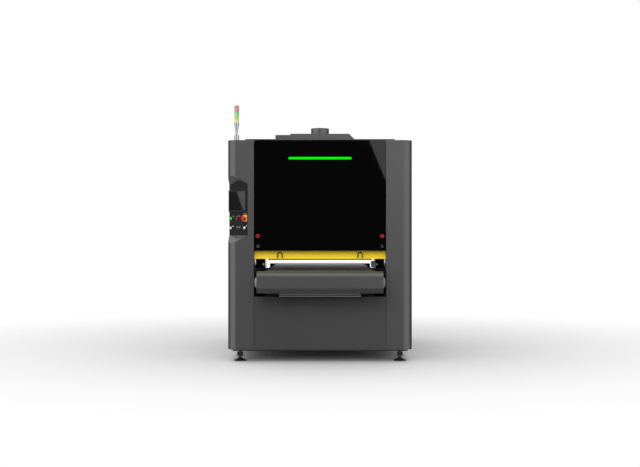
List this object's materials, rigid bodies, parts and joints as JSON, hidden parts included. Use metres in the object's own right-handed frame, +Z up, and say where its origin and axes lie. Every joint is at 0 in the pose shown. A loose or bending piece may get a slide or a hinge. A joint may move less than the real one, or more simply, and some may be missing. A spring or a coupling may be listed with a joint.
{
  "type": "deburring machine",
  "caption": "Through-feed sheet metal deburring machine: enclosed cabinet with a lifting conveyor table, abrasive belt and brush heads, glossy front door, operator panel and dust outlet.",
  "frame": {"origin": "on the floor under the middle of the machine", "axes": "+Z up, -Y towards the infeed end and the operator, +X to the operator's right"},
  "size_m": [1.832, 2.4, 2.5065],
  "materials": {
    "body_paint": "fine textured powder coat",
    "black_paint": "satin powder coat",
    "door_black": "polished",
    "yellow_paint": "satin powder coat",
    "belt_rubber": "fine textured top",
    "roller_rubber": "ground",
    "steel": "turned",
    "chrome": "polished",
    "casting": "painted casting",
    "motor_paint": "enamel",
    "outlet_steel": "zinc coated sheet",
    "red_plastic": "moulded",
    "green_plastic": "moulded",
    "light_plastic": "moulded",
    "lens_red": "translucent",
    "lens_green": "translucent",
    "lens_yellow": "translucent",
    "light_green": "lit diffuser",
    "panel_dark": "fine textured powder coat",
    "bezel_black": "moulded",
    "screen_glass": "dark touch screen",
    "abrasive_cloth": "coated abrasive",
    "sensor_plastic": "moulded",
    "foot_black": "black oxide and rubber"
  },
  "bodies": {
    "frame": {"base_frame": "black_paint", "main_frame": "black_paint", "levelling_feet": "foot_black", "left_front_column": "body_paint", "right_front_column": "body_paint", "rear_columns": "body_paint", "end_panels": "body_paint", "roof_panels": "body_paint", "dust_hood": "body_paint", "dust_outlet": "outlet_steel", "service_box": "body_paint", "tower_pole": "chrome", "yellow_lens": "lens_yellow", "green_lens": "lens_green", "red_lens": "lens_red", "control_panel": "panel_dark", "screen_housing": "bezel_black", "screen_glass": "screen_glass", "panel_collars": "chrome", "hinge_pins": "steel", "jack_housings": "casting", "lift_chain_guards": "black_paint", "head_plates": "black_paint", "abrasive_belt": "abrasive_cloth", "drive_belt": "belt_rubber", "head_bearings": "casting", "drive_motors": "motor_paint"},
    "front_door": {"door_panel": "door_black", "light_strip": "light_green", "door_frame": "black_paint", "door_collars": "chrome"},
    "safety_flap": {"safety_flap": "yellow_paint", "flap_handles": "black_paint"},
    "table": {"table_frame": "black_paint", "conveyor_belt": "belt_rubber", "nose_covers": "body_paint", "table_bearings": "casting", "edge_sensor": "sensor_plastic", "lift_screws": "steel"},
    "right_entry_stop": {"right_entry_stop": "red_plastic"},
    "left_entry_stop": {"left_entry_stop": "red_plastic"},
    "right_door_lock": {"right_door_lock": "steel"},
    "left_door_lock": {"left_door_lock": "steel"},
    "right_side_door": {"right_side_door": "body_paint"},
    "left_side_door": {"left_side_door": "body_paint"},
    "start_button": {"start_button": "green_plastic"},
    "halt_button": {"halt_button": "red_plastic"},
    "panel_stop_button": {"panel_stop_button": "red_plastic"},
    "left_selector": {"left_selector": "light_plastic"},
    "right_selector": {"right_selector": "light_plastic"},
    "drive_roller": {"drive_roller": "steel"},
    "idler_roller": {"idler_roller": "steel"},
    "contact_roller": {"contact_roller": "steel"},
    "tension_roller": {"tension_roller": "steel"},
    "motor_pulley": {"motor_pulley": "casting"},
    "brush_roller": {"brush_roller": "abrasive_cloth"},
    "front_pressure_roller": {"front_pressure_roller": "roller_rubber"},
    "rear_pressure_roller": {"rear_pressure_roller": "roller_rubber"}
  },
  "joints": [
    {"name": "table_lift", "type": "slide", "parent": "frame", "child": "table", "axis": [0, 0, 1], "range_m": [0, 0.085]},
    {"name": "drive_spin", "type": "hinge", "parent": "table", "child": "drive_roller", "pos_m": [0, 1.06, 0.774], "axis": [1, 0, 0], "continuous": true},
    {"name": "idler_spin", "type": "hinge", "parent": "table", "child": "idler_roller", "pos_m": [0, -1.06, 0.774], "axis": [1, 0, 0], "continuous": true},
    {"name": "contact_spin", "type": "hinge", "parent": "frame", "child": "contact_roller", "pos_m": [0, -0.38, 1.0798], "axis": [1, 0, 0], "continuous": true},
    {"name": "tension_spin", "type": "hinge", "parent": "frame", "child": "tension_roller", "pos_m": [0, -0.38, 1.7998], "axis": [1, 0, 0], "continuous": true},
    {"name": "motor_spin", "type": "hinge", "parent": "frame", "child": "motor_pulley", "pos_m": [0, 0.02, 1.48], "axis": [1, 0, 0], "continuous": true},
    {"name": "brush_spin", "type": "hinge", "parent": "frame", "child": "brush_roller", "pos_m": [0, 0.3, 1.108], "axis": [1, 0, 0], "continuous": true},
    {"name": "front_pressure_spin", "type": "hinge", "parent": "frame", "child": "front_pressure_roller", "pos_m": [0, -0.68, 1.023], "axis": [1, 0, 0], "continuous": true},
    {"name": "rear_pressure_spin", "type": "hinge", "parent": "frame", "child": "rear_pressure_roller", "pos_m": [0, 0.68, 1.023], "axis": [1, 0, 0], "continuous": true},
    {"name": "front_door_hinge", "type": "hinge", "parent": "frame", "child": "front_door", "pos_m": [0, -1.03, 2.137], "axis": [-1, 0, 0], "range_deg": [0, 85]},
    {"name": "right_entry_stop_press", "type": "slide", "parent": "front_door", "child": "right_entry_stop", "axis": [0, 1, 0], "range_m": [0, 0.005]},
    {"name": "left_entry_stop_press", "type": "slide", "parent": "front_door", "child": "left_entry_stop", "axis": [0, 1, 0], "range_m": [0, 0.005]},
    {"name": "right_lock_turn", "type": "hinge", "parent": "front_door", "child": "right_door_lock", "pos_m": [0.601, -1.05, 1.127], "axis": [0, -1, 0], "range_deg": [0, 90]},
    {"name": "left_lock_turn", "type": "hinge", "parent": "front_door", "child": "left_door_lock", "pos_m": [-0.601, -1.05, 1.127], "axis": [0, 1, 0], "range_deg": [0, 90]},
    {"name": "flap_swing", "type": "hinge", "parent": "frame", "child": "safety_flap", "pos_m": [0, -0.998, 1.09], "axis": [1, 0, 0], "range_deg": [0, 25], "stiffness_Nm_per_rad": 3, "springref_deg": -11.46},
    {"name": "right_side_door_hinge", "type": "hinge", "parent": "frame", "child": "right_side_door", "pos_m": [0.908, 0.6285, 1.11], "axis": [0, 0, 1], "range_deg": [0, 110]},
    {"name": "left_side_door_hinge", "type": "hinge", "parent": "frame", "child": "left_side_door", "pos_m": [-0.908, 0.6285, 1.11], "axis": [0, 0, -1], "range_deg": [0, 110]},
    {"name": "start_press", "type": "slide", "parent": "frame", "child": "start_button", "axis": [0.7071, 0.7071, 0], "range_m": [0, 0.004], "stiffness_N_per_m": 400},
    {"name": "halt_press", "type": "slide", "parent": "frame", "child": "halt_button", "axis": [0.7071, 0.7071, 0], "range_m": [0, 0.004], "stiffness_N_per_m": 400},
    {"name": "panel_stop_press", "type": "slide", "parent": "frame", "child": "panel_stop_button", "axis": [0.7071, 0.7071, 0], "range_m": [0, 0.005]},
    {"name": "left_selector_turn", "type": "hinge", "parent": "frame", "child": "left_selector", "pos_m": [-0.87355, -0.87645, 1.304], "axis": [-0.7071, -0.7071, 0], "range_deg": [-45, 45]},
    {"name": "right_selector_turn", "type": "hinge", "parent": "frame", "child": "right_selector", "pos_m": [-0.72645, -1.02355, 1.304], "axis": [-0.7071, -0.7071, 0], "range_deg": [-45, 45]}
  ],
  "couplings": [
    {"joint": "idler_spin", "follows": "drive_spin", "ratio": 1},
    {"joint": "tension_spin", "follows": "contact_spin", "ratio": 1.5},
    {"joint": "motor_spin", "follows": "contact_spin", "ratio": 1}
  ]
}
